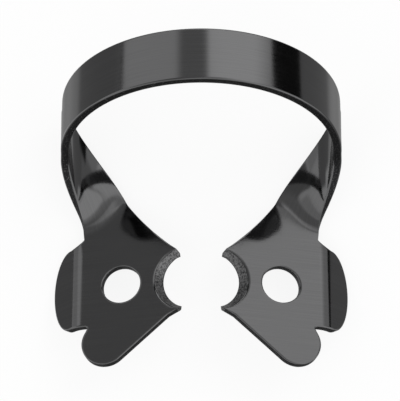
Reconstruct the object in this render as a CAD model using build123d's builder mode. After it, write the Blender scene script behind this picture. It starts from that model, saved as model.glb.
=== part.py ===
from build123d import *
from math import asin, atan2, cos, radians, sin, sqrt
import os

# Spring steel sheet
gauge = 0.66
overrun = 1.0

# Bow: the arched strip, a half ring about an axis that runs front to back
bow_outer_radius = 10.75
bow_width = 4.44
bow_setback = 8.53
bow_axis_height = 5.18
bow_lean = 3.8

# Jaw plates: flat, rolled so that the tooth side stands higher
plate_roll = 14.0
hole_spacing = 12.2
hole_diameter = 3.02
neck_from_hole = 3.04
neck_setback = 4.12
neck_heading = 7.6
crotch_inset = 0.72
crotch_setback = 6.34
crotch_heading = 37.0

# Jaw: two prongs beside a round notch with a ground bevel
prong_reach = 4.68
rear_prong_reach = 4.56
rear_prong_setback = 2.38
front_prong_advance = 2.42
prong_tip_radius = 0.16
jaw_shoulder_reach = 3.72
jaw_shoulder_advance = 2.91
notch_lower_radius = 2.29
notch_upper_radius = 2.63
notch_lower_depth = 1.4
notch_upper_depth = 2.11
notch_offset = 0.03

# Front lobe
lobe_radius = 1.84
lobe_inset = 1.8
lobe_centre_share = 0.78

# Side wing, bent down along the neck line
wing_bend = 32.0
wing_bend_radius = 1.9
wing_reach = 1.8
wing_half_length = 3.36
wing_setback = 0.1
neck_corner_width = 0.88
neck_corner_sag = 0.06
lobe_corner_radius = 0.16
lobe_arc_turn = 70.0

# Leg: the strip between the bow's foot and the plate
front_hip_drop = 0.815
front_hip_advance = 0.175
front_hip_bulge = 0.04
back_hip_drop = 0.905
back_hip_bulge = 0.11
heel_rise = 1.24
heel_setback = 1.7
heel_spread = 0.45
instep_rise = 0.03
instep_setback = 0.85
instep_spread = 0.55

# Rest on a level surface
rest_tilt = 23.83

half = gauge / 2
bow_radius = bow_outer_radius - half
hole_x = hole_spacing / 2

# Frames of the right jaw plate and its wing; x runs outward along the sheet, z is the sheet's normal
plate_plane = Plane(
    origin=(hole_x, 0, -half / cos(radians(plate_roll))),
    x_dir=(cos(radians(plate_roll)), 0, -sin(radians(plate_roll))),
    z_dir=(sin(radians(plate_roll)), 0, cos(radians(plate_roll))),
)
bend_axis_plane = Plane(
    origin=plate_plane.from_local_coords((neck_from_hole, 0, -wing_bend_radius)),
    x_dir=plate_plane.x_dir,
    z_dir=plate_plane.z_dir,
)
wing_angle = plate_roll + wing_bend
wing_normal = Vector(sin(radians(wing_angle)), 0, cos(radians(wing_angle)))
wing_plane = Plane(
    origin=bend_axis_plane.origin + wing_normal * wing_bend_radius,
    x_dir=(cos(radians(wing_angle)), 0, -sin(radians(wing_angle))),
    z_dir=wing_normal,
)

# Foot of the bow and the line where the leg joins the plate
bow_up = Vector(0, sin(radians(bow_lean)), cos(radians(bow_lean)))
bow_back = Vector(0, cos(radians(bow_lean)), -sin(radians(bow_lean)))
front_foot = Vector(bow_radius, bow_setback, bow_axis_height)
back_foot = front_foot + bow_back * bow_width
neck = plate_plane.from_local_coords((neck_from_hole, neck_setback, 0))
crotch = plate_plane.from_local_coords((-crotch_inset, crotch_setback, 0))
crotch_sine = sin(radians(crotch_heading))
crotch_cosine = cos(radians(crotch_heading))
crotch_tangent = plate_plane.x_dir * -crotch_sine + Vector(0, -crotch_cosine, 0)
neck_tangent = plate_plane.x_dir * -sin(radians(neck_heading)) + Vector(
    0, -cos(radians(neck_heading)), 0
)

# Edges of the leg's middle surface
front_hip = front_foot + Vector(front_hip_bulge, -front_hip_advance, -front_hip_drop)
back_hip = back_foot + Vector(back_hip_bulge, 0, -back_hip_drop)
heel = neck + Vector(heel_spread, heel_setback, heel_rise)
instep = crotch + Vector(instep_spread, instep_setback, instep_rise)
with BuildLine() as front_edge:
    Spline(front_foot, front_hip, heel, neck, tangents=[-bow_up, neck_tangent])
with BuildLine() as back_edge:
    Spline(back_foot, back_hip, instep, crotch, tangents=[-bow_up, crotch_tangent])
leg_surface = Face.make_surface_from_curves(front_edge.edges()[0], back_edge.edges()[0])

with BuildPart() as leg:
    thicken(leg_surface, amount=half, both=True)

# Jaw plate: outline in the sheet's own plane
wing_front = wing_setback - wing_half_length
lobe_drop = lobe_radius * lobe_centre_share
lobe_shoulder = sqrt(lobe_radius**2 - lobe_drop**2)
shoulder = Vector(-jaw_shoulder_reach, -jaw_shoulder_advance)
lobe_centre = Vector(neck_from_hole - lobe_inset, wing_front - lobe_drop)
to_lobe = lobe_centre - shoulder
jaw_edge_angle = atan2(to_lobe.Y, to_lobe.X) - asin(lobe_radius / to_lobe.length)
lobe_tangent = lobe_centre + Vector(sin(jaw_edge_angle), -cos(jaw_edge_angle)) * lobe_radius
lobe_start = Vector(lobe_centre.X + lobe_shoulder, wing_front)
lobe_middle = lobe_centre + Vector(
    lobe_radius * cos(radians(lobe_arc_turn)), -lobe_radius * sin(radians(lobe_arc_turn))
)

with BuildPart() as plate:
    with BuildSketch(plate_plane) as outline:
        with BuildLine():
            neck_side = Line((neck_from_hole, neck_setback), (neck_from_hole, wing_front))
            wing_front_line = Line(neck_side @ 1, lobe_start)
            lobe = ThreePointArc(wing_front_line @ 1, lobe_middle, lobe_tangent)
            jaw_edge = Line(lobe @ 1, shoulder)
            front_prong = Line(jaw_edge @ 1, (-prong_reach, -front_prong_advance))
            jaw_line = Line(front_prong @ 1, (-rear_prong_reach, rear_prong_setback))
            crotch_point = Vector(-crotch_inset, crotch_setback)
            flare = TangentArc(
                crotch_point, jaw_line @ 1, tangent=(-crotch_sine, -crotch_cosine)
            )
            Line(flare @ 0, neck_side @ 0)
        make_face()
        fillet(outline.vertices().sort_by(Axis.X)[:2], prong_tip_radius)
        fillet(outline.vertices().sort_by_distance(lobe_start)[0], lobe_corner_radius)
    extrude(amount=half, both=True)
    with BuildSketch(plate_plane):
        Circle(hole_diameter / 2)
    extrude(amount=gauge, both=True, mode=Mode.SUBTRACT)

# Notch cutter: an oblique cone that leaves the ground bevel
notch_height = half + overrun
notch_flare = (notch_upper_radius - notch_lower_radius) / gauge
notch_lean = (notch_upper_depth - notch_lower_depth) / gauge
with BuildPart() as notch:
    for height in (-notch_height, notch_height):
        radius = notch_lower_radius + notch_flare * (height + half)
        deepest = notch_lower_depth - prong_reach + notch_lean * (height + half)
        with BuildSketch(plate_plane.offset(height)):
            with Locations((deepest - radius, notch_offset)):
                Circle(radius)
    loft(ruled=True)

# Wing root: the bend beside the plate, with a round inner corner at the neck
bend_plane = Plane(
    origin=bend_axis_plane.origin,
    x_dir=plate_plane.z_dir,
    z_dir=-plate_plane.x_dir,
)
wing_rear = wing_setback + wing_half_length
wing_edge_x = wing_plane.origin.X
with BuildPart() as wing_root:
    with BuildSketch(bend_plane):
        with BuildLine():
            Polyline(
                (wing_bend_radius - half, wing_front),
                (wing_bend_radius + half, wing_front),
                (wing_bend_radius + half, neck_setback),
                (wing_bend_radius - half, neck_setback),
                close=True,
            )
        make_face()
    revolve(axis=Axis(bend_plane.origin, (0, 1, 0)), revolution_arc=wing_bend)
    with BuildSketch(Plane.XY):
        with BuildLine():
            neck_corner = SagittaArc(
                (neck.X, neck_setback), (neck.X + neck_corner_width, wing_rear), -neck_corner_sag
            )
            Polyline(
                neck_corner @ 1,
                (wing_edge_x + gauge, wing_rear),
                (wing_edge_x + gauge, wing_front),
                (neck.X - gauge, wing_front),
                (neck.X - gauge, neck_setback),
                neck_corner @ 0,
            )
        make_face()
    extrude(amount=bow_radius, both=True, mode=Mode.INTERSECT)

# Wing: a half ellipse beyond the bend
with BuildPart() as wing:
    with BuildSketch(wing_plane):
        with BuildLine():
            wing_edge = EllipticalCenterArc(
                (0, wing_setback), wing_reach, wing_half_length, start_angle=-90, arc_size=180
            )
            Line(wing_edge @ 1, wing_edge @ 0)
        make_face()
    extrude(amount=half, both=True)

# Bow: half a ring
bow_plane = Plane(
    origin=(0, bow_setback, bow_axis_height), x_dir=(1, 0, 0), z_dir=-bow_back
)
with BuildPart() as bow:
    with BuildSketch(bow_plane):
        with BuildLine():
            outer = CenterArc((0, 0), bow_outer_radius, 0, 180)
            inner = CenterArc((0, 0), bow_outer_radius - gauge, 0, 180)
            Line(outer @ 0, inner @ 0)
            Line(outer @ 1, inner @ 1)
        make_face()
    extrude(amount=-bow_width)

with BuildPart() as clamp:
    add(plate.part)
    add(notch.part, mode=Mode.SUBTRACT)
    add(wing_root.part)
    add(wing.part)
    add(leg.part)
    mirror(about=Plane.YZ)
    add(bow.part)

# Rest: the clamp tips back until the undersides of both legs touch the surface
with BuildPart() as tipped:
    add(clamp.part, rotation=(-rest_tilt, 0, 0))
box = tipped.part.bounding_box()
with BuildPart() as rested:
    with Locations((0, -box.center().Y, -box.min.Z)):
        add(tipped.part)

rested.part.label = "clamp"
os.makedirs("parts", exist_ok=True)
export_step(rested.part, "parts/clamp.step")
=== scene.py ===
"""Looks of a rubber dam clamp made from one strip of dark coated spring steel.

The clamp is laid out in millimetres in its maker's frame: x to the side, y from
the jaws to the bow, z up from the jaw plates. It is then tipped back to where it
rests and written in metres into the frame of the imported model.
"""

import logging
import math
from dataclasses import dataclass, field, replace
from enum import Enum

import bmesh
import bpy
import numpy as np
from mathutils import Matrix, Vector
from mathutils.geometry import delaunay_2d_cdt


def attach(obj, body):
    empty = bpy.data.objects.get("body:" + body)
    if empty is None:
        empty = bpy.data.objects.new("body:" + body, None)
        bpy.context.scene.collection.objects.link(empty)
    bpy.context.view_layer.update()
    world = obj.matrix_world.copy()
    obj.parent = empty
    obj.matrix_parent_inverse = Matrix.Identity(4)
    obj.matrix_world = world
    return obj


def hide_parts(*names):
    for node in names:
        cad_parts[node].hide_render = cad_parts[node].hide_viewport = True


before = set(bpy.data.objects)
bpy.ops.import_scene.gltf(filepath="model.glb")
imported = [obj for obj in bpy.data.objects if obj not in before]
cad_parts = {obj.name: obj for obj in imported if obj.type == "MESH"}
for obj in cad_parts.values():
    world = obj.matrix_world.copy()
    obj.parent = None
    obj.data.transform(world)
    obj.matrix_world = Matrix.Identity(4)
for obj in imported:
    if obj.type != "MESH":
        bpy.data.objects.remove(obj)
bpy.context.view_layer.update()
LOG = logging.getLogger("rubber_dam_clamp")
METRES = 0.001
ROUNDOFF = 1e-9
TRIANGLES_INSIDE = 1
MIRROR = np.array([-1.0, 1, 1])


def unit(vector: np.ndarray) -> np.ndarray:
    """Return the vectors scaled to length one along their last axis."""
    return vector / np.linalg.norm(vector, axis=-1, keepdims=True)


def eased(share: np.ndarray) -> np.ndarray:
    """Return shares from 0 to 1 with a level start and a level end."""
    return share**2 * (3 - 2 * share)


def around(turn: np.ndarray) -> np.ndarray:
    """Return rows of points on a circle of radius one."""
    return np.stack([np.cos(turn), np.sin(turn)], axis=1)


def run_along(points: np.ndarray) -> np.ndarray:
    """Return each point's distance from the first one, measured along the points."""
    return np.concatenate([[0], np.cumsum(np.linalg.norm(np.diff(points, axis=0), axis=1))])


def rows_of(items: bpy.types.bpy_prop_collection, name: str) -> np.ndarray:
    """Read a vector of each item.

    Args:
        items: vertices or the data of an attribute.
        name: name of the vector.

    Returns:
        Rows of three numbers.
    """
    values = np.empty(len(items) * 3, dtype=np.float32)
    items.foreach_get(name, values)
    return values.reshape(-1, 3).astype(float)


def linked(name: str, data: bpy.types.ID) -> bpy.types.Object:
    """Make an object and link it to the scene.

    Args:
        name: name of the object.
        data: its mesh, camera or lamp.

    Returns:
        The object.
    """
    made = bpy.data.objects.new(name, data)
    bpy.context.scene.collection.objects.link(made)
    return made


# The sheet


@dataclass(frozen=True)
class Sheet:
    """The spring steel sheet and how its cut edges are rounded."""

    gauge: float = 0.66
    edge_radius: float = 0.13
    rounding_steps: int = 4
    shoulder: float = 0.03
    across_steps: int = 18
    strip_width: float = 4.44

    @property
    def half(self) -> float:
        """Half the gauge."""
        return self.gauge / 2

    def edge_profile(self) -> np.ndarray:
        """Profile of a cut edge from the upper skin over the wall to the lower skin.

        Returns:
            Rows of inset share, depth share and cut mask; shares are of the edge
            radius for the rounded corners, counted from the nearer skin, with the
            sign of the depth telling the skin: positive from above, negative from below.
        """
        rows = [(1 + self.shoulder / self.edge_radius, 0.0, 0.0)]
        for step in range(self.rounding_steps + 1):
            turn = step / self.rounding_steps
            rows.append(((1 - turn) ** 2, turn**2, float(step == self.rounding_steps)))
        upper = np.array(rows)
        lower = upper[::-1].copy()
        lower[:, 1] *= -1
        return np.vstack([upper, lower])

    def section(self) -> np.ndarray:
        """Closed section of the strip.

        Returns:
            Rows of share across the strip, height as a share of the half gauge with
            the outer skin positive, and cut mask.
        """
        profile = self.edge_profile()
        count = len(profile) // 2
        inset = profile[:, 0] * self.edge_radius / self.strip_width
        depth = np.abs(profile[:, 1]) * self.edge_radius / self.half
        height = np.where(np.arange(len(profile)) < count, 1 - depth, depth - 1)
        shares = np.linspace(inset[0], 1 - inset[0], self.across_steps + 1)
        outer = [(share, 1.0, 0.0) for share in shares]
        inner = [(share, -1.0, 0.0) for share in shares[::-1]]
        back = [(1 - i, h, c) for i, h, c in zip(inset, height, profile[:, 2])][1:-1]
        front = [(i, h, c) for i, h, c in zip(inset, height, profile[:, 2])][1:-1][::-1]
        return np.array(outer + back + inner + front)


# The strip and its two rails


@dataclass(frozen=True)
class Rail:
    """One edge of the strip: places and slopes at matched steps."""

    places: np.ndarray
    slopes: np.ndarray


def clamped_spline(
    points: np.ndarray, first_way: np.ndarray, last_way: np.ndarray, steps: int
) -> Rail:
    """Run a smooth cubic through points with given directions at its two ends.

    The pull at each end follows the parabola through the first three points.

    Args:
        points: the points to pass, spaced by their chords.
        first_way: direction at the first point.
        last_way: direction at the last point.
        steps: number of equal steps along the curve.

    Returns:
        Places and slopes, the slopes per whole length of the curve.
    """
    chord = np.linalg.norm(np.diff(points, axis=0), axis=1)
    knots = np.concatenate([[0.0], np.cumsum(chord)])
    count = len(points)
    _, linear, square = np.linalg.solve(np.vander(knots[:3], increasing=True), points[:3])
    first_slope, last_slope = (
        way * np.sum(np.abs(linear + 2 * square * at)) / np.sum(np.abs(way))
        for way, at in ((first_way, knots[0]), (last_way, knots[-1]))
    )
    matrix = np.zeros((count, count))
    right = np.zeros((count, 3))
    matrix[0, 0] = matrix[-1, -1] = 1
    right[0], right[-1] = first_slope, last_slope
    for i in range(1, count - 1):
        before, after = chord[i - 1], chord[i]
        matrix[i, i - 1 : i + 2] = after, 2 * (before + after), before
        right[i] = 3 * (
            after * (points[i] - points[i - 1]) / before
            + before * (points[i + 1] - points[i]) / after
        )
    slope = np.linalg.solve(matrix, right)
    run = np.linspace(0, knots[-1], steps + 1)
    span = np.clip(np.searchsorted(knots, run, side="right") - 1, 0, count - 2)
    width = chord[span][:, None]
    share = ((run - knots[span]) / chord[span])[:, None]
    p, q, m, n = points[span], points[span + 1], slope[span] * width, slope[span + 1] * width
    places = (
        (2 * share**3 - 3 * share**2 + 1) * p
        + (share**3 - 2 * share**2 + share) * m
        + (3 * share**2 - 2 * share**3) * q
        + (share**3 - share**2) * n
    )
    slopes = (
        (6 * share**2 - 6 * share) * (p - q)
        + (3 * share**2 - 4 * share + 1) * m
        + (3 * share**2 - 2 * share) * n
    ) / width
    return Rail(places, slopes * knots[-1])


@dataclass(frozen=True)
class Bow:
    """The arched strip: half a ring that leans back a little."""

    outer_radius: float = 10.75
    setback: float = 8.53
    axis_height: float = 5.18
    lean: float = 3.8
    steps: int = 72

    @property
    def up(self) -> np.ndarray:
        """Direction from the bow's axis to its crown."""
        return np.array([0, math.sin(math.radians(self.lean)), math.cos(math.radians(self.lean))])

    @property
    def back(self) -> np.ndarray:
        """Direction across the strip, from its front edge to its back edge."""
        return np.array([0, math.cos(math.radians(self.lean)), -math.sin(math.radians(self.lean))])

    def radius(self, sheet: Sheet) -> float:
        """Radius of the middle of the sheet."""
        return self.outer_radius - sheet.half

    def front_foot(self, sheet: Sheet) -> np.ndarray:
        """End of the front edge on the right."""
        return np.array([self.radius(sheet), self.setback, self.axis_height])

    def back_foot(self, sheet: Sheet) -> np.ndarray:
        """End of the back edge on the right."""
        return self.front_foot(sheet) + self.back * sheet.strip_width

    def rails(self, sheet: Sheet) -> tuple[Rail, Rail]:
        """Front and back edges from the crown to the right foot.

        Args:
            sheet: the sheet that the bow is bent from.

        Returns:
            The front rail and the back rail.
        """
        turn = np.linspace(0, math.pi / 2, self.steps + 1)[:, None]
        side = np.array([1.0, 0, 0])
        radius = self.radius(sheet)
        arch = radius * (np.sin(turn) * side + np.cos(turn) * self.up)
        slope = radius * (np.cos(turn) * side - np.sin(turn) * self.up)
        centre = np.array([0, self.setback, self.axis_height])
        across = self.back * sheet.strip_width
        return Rail(centre + arch, slope), Rail(centre + arch + across, slope)


@dataclass(frozen=True)
class Leg:
    """The twisted part of the strip between the bow's foot and the jaw plate."""

    front_hip_drop: float = 0.815
    front_hip_advance: float = 0.175
    front_hip_bulge: float = 0.04
    back_hip_drop: float = 0.905
    back_hip_bulge: float = 0.11
    heel_rise: float = 1.24
    heel_setback: float = 1.7
    heel_spread: float = 0.45
    instep_rise: float = 0.03
    instep_setback: float = 0.85
    instep_spread: float = 0.55
    steps: int = 110

    def rails(self, sheet: Sheet, bow: Bow, plate: "JawPlate") -> tuple[Rail, Rail]:
        """Front and back edges from the right foot of the bow to the plate.

        Args:
            sheet: the sheet that the strip is cut from.
            bow: the bow that the leg hangs from.
            plate: the jaw plate that the leg ends in.

        Returns:
            The front rail and the back rail.
        """
        front_foot, back_foot = bow.front_foot(sheet), bow.back_foot(sheet)
        neck = plate.place(np.array([plate.neck]), 0.0, sheet)[0]
        crotch = plate.place(np.array([plate.crotch]), 0.0, sheet)[0]
        hip = front_foot + (self.front_hip_bulge, -self.front_hip_advance, -self.front_hip_drop)
        heel = neck + (self.heel_spread, self.heel_setback, self.heel_rise)
        rump = back_foot + (self.back_hip_bulge, 0, -self.back_hip_drop)
        instep = crotch + (self.instep_spread, self.instep_setback, self.instep_rise)
        front = np.array([front_foot, hip, heel, neck])
        back = np.array([back_foot, rump, instep, crotch])
        return (
            clamped_spline(front, -bow.up, plate.heading(plate.neck_heading), self.steps),
            clamped_spline(back, -bow.up, plate.heading(plate.crotch_heading), self.steps),
        )


# The jaw plates


@dataclass(frozen=True)
class HeelBlend:
    """Soft start of the heel's bend where the leg joins the flat plate.

    The bend grows evenly over a reach before and behind the joint, and does not
    start all at once on it.
    """

    neck: tuple[float, float] = (0.0, 0.0)
    crotch: tuple[float, float] = (0.0, 1.0)
    neck_bend: float = 0.0
    crotch_bend: float = 0.0
    reach: float = 1.2
    fade: float = 4.0
    side_fade: float = 0.8
    probe: float = 1e-4

    def offset(self, bend: np.ndarray, past: np.ndarray) -> np.ndarray:
        """Lift of the sheet at a distance past the joint.

        Args:
            bend: curvature that the heel starts with.
            past: distance past the joint, negative on the plate.

        Returns:
            Lift along the sheet's normal.
        """
        near = np.clip(past + self.reach, 0, 2 * self.reach) ** 3 / (12 * self.reach)
        near = near - np.clip(past, 0, self.reach) ** 2 / 2
        share = np.clip((past - self.reach) / self.fade, 0, 1)
        return bend * near * (1 - share**3 * (10 - 15 * share + 6 * share**2))

    def rise(self, chart: np.ndarray) -> np.ndarray:
        """Lift of chart points on the plate.

        Args:
            chart: rows of chart points.

        Returns:
            One lift for each point.
        """
        start = np.array(self.neck)
        line = np.array(self.crotch) - start
        length = np.linalg.norm(line)
        along = (chart - start) @ line / length**2
        past = (chart - start) @ np.array([line[1], -line[0]]) / length
        outside = np.clip(np.maximum(-along, along - 1) * length / self.side_fade, 0, 1)
        bend = self.neck_bend + (self.crotch_bend - self.neck_bend) * np.clip(along, 0, 1)
        return self.offset(bend, np.minimum(past, self.reach)) * (1 - eased(outside))

    def gradient(self, chart: np.ndarray) -> np.ndarray:
        """Slope of the lift along both axes of the chart.

        Args:
            chart: rows of chart points.

        Returns:
            Rows of two slopes.
        """
        slopes = []
        for axis in np.eye(2) * self.probe:
            slopes.append((self.rise(chart + axis) - self.rise(chart - axis)) / (2 * self.probe))
        return np.stack(slopes, axis=1)


class Skin(Enum):
    """The two faces of a jaw plate."""

    UPPER = 1
    LOWER = -1


@dataclass(frozen=True)
class JawPlate:
    """Right jaw plate with its notch, forceps hole, front lobe and bent wing.

    Its chart has the hole's centre as origin; the first axis runs outward along the
    sheet, over the wing's bend, and the second one runs back.
    """

    roll: float = 14.0
    hole_spacing: float = 12.2
    hole_diameter: float = 3.02
    neck_from_hole: float = 3.04
    neck_setback: float = 4.12
    neck_heading: float = 7.6
    crotch_inset: float = 0.72
    crotch_setback: float = 6.34
    crotch_heading: float = 37.0
    prong_reach: float = 4.68
    rear_prong_reach: float = 4.56
    rear_prong_setback: float = 2.38
    front_prong_advance: float = 2.42
    prong_tip_radius: float = 0.16
    shoulder_reach: float = 3.72
    shoulder_advance: float = 2.91
    notch_lower_radius: float = 2.29
    notch_upper_radius: float = 2.63
    notch_lower_depth: float = 1.4
    notch_upper_depth: float = 2.11
    notch_offset: float = 0.03
    lobe_radius: float = 1.84
    lobe_inset: float = 1.8
    lobe_centre_share: float = 0.78
    wing_bend: float = 32.0
    wing_bend_radius: float = 1.9
    wing_reach: float = 1.8
    wing_half_length: float = 3.36
    wing_setback: float = 0.1
    neck_corner_width: float = 0.88
    neck_corner_sag: float = 0.06
    lobe_corner_radius: float = 0.16
    bend_softness: tuple[float, float] = (0.12, 0.12)
    soft_bend_inset: float = 0.1
    soft_bend_fade: float = 1.6
    heel: HeelBlend = HeelBlend()
    outline_step: float = 0.12
    bend_steps: int = 200
    bend_columns: int = 16
    bend_rows: int = 26
    bend_clearance: float = 0.07
    lattice_step: float = 0.22
    corner_points: int = 20
    wing_points: int = 84
    lobe_points: int = 56
    flare_points: int = 48
    notch_points: int = 72
    notch_end_points: int = 12
    hole_points: int = 96

    @property
    def side(self) -> np.ndarray:
        """Direction outward along the flat sheet."""
        return np.array([math.cos(math.radians(self.roll)), 0, -math.sin(math.radians(self.roll))])

    def heading(self, degrees: float) -> np.ndarray:
        """Direction in the flat sheet, turned inward from straight forward by some degrees."""
        turn = math.radians(degrees)
        return -self.side * math.sin(turn) - np.array([0, math.cos(turn), 0])

    @property
    def neck(self) -> tuple[float, float]:
        """Chart point where the leg's front edge ends."""
        return (self.neck_from_hole, self.neck_setback)

    @property
    def crotch(self) -> tuple[float, float]:
        """Chart point where the leg's back edge ends."""
        return (-self.crotch_inset, self.crotch_setback)

    @property
    def bend_end(self) -> float:
        """Chart distance at which the wing's bend ends."""
        return self.neck_from_hole + self.wing_bend_radius * math.radians(self.wing_bend)

    @property
    def wing_front(self) -> float:
        """Chart place of the wing's front end."""
        return self.wing_setback - self.wing_half_length

    @property
    def wing_rear(self) -> float:
        """Chart place of the wing's rear end."""
        return self.wing_setback + self.wing_half_length

    def bent(self, chart: np.ndarray, start: float, end: float, soft: bool) -> tuple[np.ndarray, ...]:
        """Run the sheet's middle over the wing's bend.

        Args:
            chart: rows of chart points.
            start: chart distance at which the bend starts.
            end: chart distance at which it ends.
            soft: whether the sheet turns faster midway than at the bend's two ends.

        Returns:
            Points, directions outward along the sheet, and normals.
        """
        run = np.linspace(0, 1, self.bend_steps + 1)
        share = (run + eased(run)) / 2 if soft else run
        tilt = math.radians(self.roll) + math.radians(self.wing_bend) * share
        step = (end - start) * (run[1] - run[0])
        middle = (tilt[1:] + tilt[:-1]) / 2
        out = np.concatenate([[0], np.cumsum(np.cos(middle))]) * step
        down = np.concatenate([[0], np.cumsum(np.sin(middle))]) * step
        along = chart[:, 0]
        at = np.clip((along - start) / (end - start), 0, 1)
        lean = np.interp(at, run, tilt)
        tangent = np.stack([np.cos(lean), 0 * lean, -np.sin(lean)], axis=1)
        normal = np.stack([np.sin(lean), 0 * lean, np.cos(lean)], axis=1)
        over = np.stack([np.interp(at, run, out), 0 * at, -np.interp(at, run, down)], axis=1)
        flat = np.minimum(along, start)[:, None] * self.side
        beyond = np.maximum(along - end, 0)[:, None] * tangent
        return flat + over + beyond, tangent, normal

    def place(self, chart: np.ndarray, height: np.ndarray | float, sheet: Sheet) -> np.ndarray:
        """Lift chart points into space.

        Args:
            chart: rows of chart points.
            height: height over the middle of the sheet, one for each row or one for all.
            sheet: the sheet that the plate is cut from.

        Returns:
            Rows of points in the maker's frame.
        """
        sharp = self.bent(chart, self.neck_from_hole, self.bend_end, soft=False)
        early, late = self.bend_softness
        soft = self.bent(chart, self.neck_from_hole - early, self.bend_end + late, soft=True)
        ahead = self.neck_setback - self.soft_bend_inset - chart[:, 1]
        share = eased(np.clip(ahead / self.soft_bend_fade, 0, 1))[:, None]
        middle, tangent, normal = (one + (two - one) * share for one, two in zip(sharp, soft))
        rise, gradient = self.heel.rise(chart), self.heel.gradient(chart)
        back = np.array([0, 1.0, 0])
        normal = unit(normal)
        leaned = unit(normal - gradient[:, :1] * tangent - gradient[:, 1:] * back)
        origin = np.array([self.hole_spacing / 2, 0, -sheet.half / math.cos(math.radians(self.roll))])
        middle = origin + middle + chart[:, 1:2] * back + normal * rise[:, None]
        return middle + leaned * np.reshape(height, (-1, 1))

    def chart_of_plan(self, offset: np.ndarray) -> np.ndarray:
        """Chart distance of points on the wing's bend.

        Args:
            offset: how far the points lie beyond the neck in plan.

        Returns:
            Their chart distances.
        """
        roll = math.radians(self.roll)
        turn = np.arcsin(math.sin(roll) + offset / self.wing_bend_radius) - roll
        return self.neck_from_hole + self.wing_bend_radius * turn

    def neck_corner(self) -> np.ndarray:
        """Points of the hollow corner between the neck and the wing's rear end.

        Returns:
            Rows of chart points.
        """
        width, sag = self.neck_corner_width, self.neck_corner_sag
        share = np.linspace(0, 1, self.corner_points)
        drop = self.neck_setback - self.wing_rear
        hollow = 4 * sag * share * (1 - share) / math.hypot(width, drop)
        across = self.chart_of_plan(width * share - drop * hollow)
        return np.stack([across, self.neck_setback - drop * share - width * hollow], axis=1)

    def wing_edge(self) -> np.ndarray:
        """Points round the wing and along the front of its bend, back to the flat plate.

        Returns:
            Rows of chart points.
        """
        turn = np.linspace(math.pi / 2, -math.pi / 2, self.wing_points)
        centre = np.array([self.bend_end, self.wing_setback])
        wing = centre + around(turn) * np.array([self.wing_reach, self.wing_half_length])
        columns = np.linspace(self.bend_end, self.neck_from_hole, self.bend_columns + 1)[1:]
        return np.vstack([wing, np.stack([columns, np.full_like(columns, self.wing_front)], axis=1)])

    def lobe_edge(self, shoulder: np.ndarray) -> np.ndarray:
        """Points round the front lobe.

        Args:
            shoulder: chart point that the lobe's last tangent runs to.

        Returns:
            Rows of chart points.
        """
        drop = self.lobe_radius * self.lobe_centre_share
        centre = np.array([self.neck_from_hole - self.lobe_inset, self.wing_front - drop])
        to_lobe = centre - shoulder
        swing = math.asin(self.lobe_radius / np.linalg.norm(to_lobe))
        edge = math.atan2(to_lobe[1], to_lobe[0]) - swing
        turn = np.linspace(math.asin(self.lobe_centre_share), edge - math.pi / 2, self.lobe_points)
        return centre + self.lobe_radius * around(turn)

    def flare(self, rear_tip: np.ndarray) -> np.ndarray:
        """Points of the arc that meets the leg's back edge at the crotch.

        Args:
            rear_tip: chart point of the rear prong's tip, where the arc starts.

        Returns:
            Rows of chart points.
        """
        crotch = np.array(self.crotch)
        heading = math.radians(self.crotch_heading)
        away = np.array([-math.cos(heading), math.sin(heading)])
        chord = rear_tip - crotch
        radius = float(chord @ chord) / (2 * float(chord @ away))
        middle = crotch + away * radius
        begin = math.atan2(*(rear_tip - middle)[::-1])
        end = math.atan2(*(crotch - middle)[::-1])
        sweep = math.remainder(end - begin, 2 * math.pi)
        return middle + abs(radius) * around(np.linspace(begin, begin + sweep, self.flare_points))

    def outline(self) -> np.ndarray:
        """Outline without the notch, from the neck round the wing to the crotch.

        Returns:
            Rows of chart points.
        """
        shoulder = np.array([-self.shoulder_reach, -self.shoulder_advance])
        front_tip = np.array([-self.prong_reach, -self.front_prong_advance])
        rear_tip = np.array([-self.rear_prong_reach, self.rear_prong_setback])
        path = Path2D()
        path.extend(self.neck_corner())
        path.extend(self.wing_edge())
        path.extend(self.lobe_edge(shoulder), corner_radius=self.lobe_corner_radius)
        path.extend(np.array([shoulder, front_tip]))
        path.extend(self.flare(rear_tip), corner_radius=self.prong_tip_radius)
        path.round_corner_at(front_tip, self.prong_tip_radius)
        return path.resampled(self.outline_step)


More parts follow.
